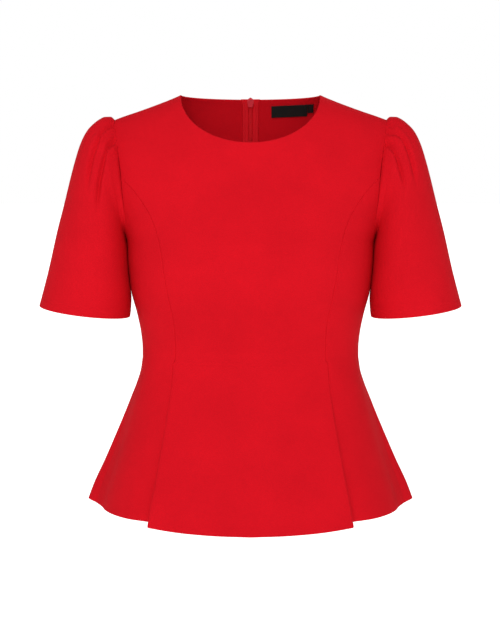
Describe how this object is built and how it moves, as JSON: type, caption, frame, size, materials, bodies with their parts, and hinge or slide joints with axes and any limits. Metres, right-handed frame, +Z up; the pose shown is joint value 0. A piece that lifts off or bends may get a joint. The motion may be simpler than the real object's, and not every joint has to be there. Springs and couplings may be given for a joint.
{
  "type": "short-sleeved peplum blouse",
  "caption": "Fitted short-sleeved blouse with a round neck, gathered sleeve heads, long shaped seams and a flared peplum, closed by a concealed zip down the back.",
  "frame": {"origin": "midway between the two points where the shoulder seams meet the neck, where the wearer's shoulders hold the blouse up", "axes": "+X to the wearer's left, -Y to the front, +Z up"},
  "size_m": [0.579, 0.332, 0.5753],
  "materials": {
    "cloth": "matt red crepe jersey",
    "zip_tape": "red woven tape",
    "zip_coil": "satin nylon",
    "zip_metal": "red lacquer",
    "label": "black woven satin"
  },
  "bodies": {
    "blouse": {"front_centre": "cloth", "front_side_left": "cloth", "front_side_right": "cloth", "back_side_left": "cloth", "back_side_right": "cloth", "back_centre_left": "cloth", "back_centre_right": "cloth", "sleeve_left": "cloth", "sleeve_right": "cloth", "zip_tape_left": "zip_tape", "zip_tape_right": "zip_tape", "zip_coil": "zip_coil", "zip_slider": "zip_metal", "neck_label": "label", "size_tab": "label"},
    "pull": {"zip_pull": "zip_metal"}
  },
  "joints": [
    {"name": "zip_pull_hinge", "type": "hinge", "parent": "blouse", "child": "pull", "pos_m": [0, 0.06172, -0.00763], "axis": [1, 0, 0], "range_deg": [0, 150]}
  ]
}
